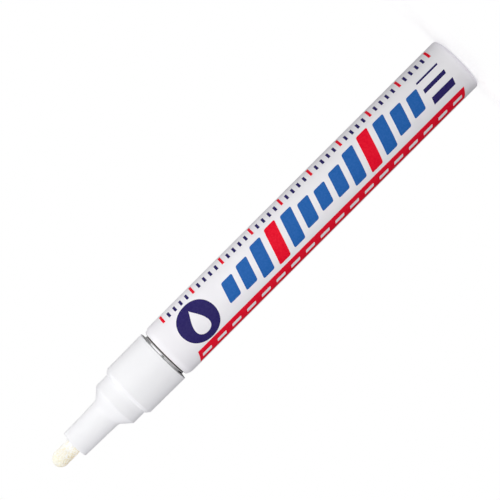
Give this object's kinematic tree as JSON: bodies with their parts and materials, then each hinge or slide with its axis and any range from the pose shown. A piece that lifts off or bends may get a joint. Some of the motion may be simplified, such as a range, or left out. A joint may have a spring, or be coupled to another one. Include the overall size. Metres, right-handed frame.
{
  "type": "paint marker",
  "caption": "Slim round paint marker, uncapped: closed white metal barrel, white plastic collar and stepped nib holder, and a bullet-shaped fibre nib that opens an inner valve when pressed.",
  "frame": {"origin": "centre of the flat rear face of the barrel, on the surface that the marker stands on", "axes": "+Z along the barrel's axis from the rear face to the nib; the middle of the printed side of the barrel faces -Y; +X completes the right-handed frame"},
  "size_m": [0.015, 0.015, 0.1378],
  "materials": {
    "barrel_lacquer": "gloss",
    "white_plastic": "satin",
    "nib_fibre": "matte",
    "seal_rubber": "matte",
    "valve_plastic": "satin",
    "spring_steel": "polished",
    "ball_steel": "polished"
  },
  "bodies": {
    "marker_body": {"barrel": "barrel_lacquer", "collar": "white_plastic", "nib_holder": "white_plastic", "neck_gasket": "seal_rubber", "valve_housing": "valve_plastic", "valve_seat": "seal_rubber", "return_spring": "spring_steel", "spring_cage": "valve_plastic"},
    "nib": {"nib": "nib_fibre"},
    "valve_stem": {"valve_stem": "valve_plastic"},
    "mixing_ball_left": {"mixing_ball_left": "ball_steel"},
    "mixing_ball_right": {"mixing_ball_right": "ball_steel"}
  },
  "joints": [
    {"name": "nib_press", "type": "slide", "parent": "marker_body", "child": "nib", "axis": [0, 0, -1], "range_m": [0, 0.002], "stiffness_N_per_m": 500, "springref_m": -0.001, "deforming": ["return_spring"]},
    {"name": "valve_lift", "type": "slide", "parent": "marker_body", "child": "valve_stem", "axis": [0, 0, -1], "range_m": [0, 0.002]},
    {"name": "ball_left_run", "type": "slide", "parent": "marker_body", "child": "mixing_ball_left", "axis": [0, 0, 1], "range_m": [0, 0.08868]},
    {"name": "ball_right_run", "type": "slide", "parent": "marker_body", "child": "mixing_ball_right", "axis": [0, 0, 1], "range_m": [0, 0.08868]}
  ],
  "couplings": [
    {"joint": "valve_lift", "follows": "nib_press", "ratio": 1}
  ]
}
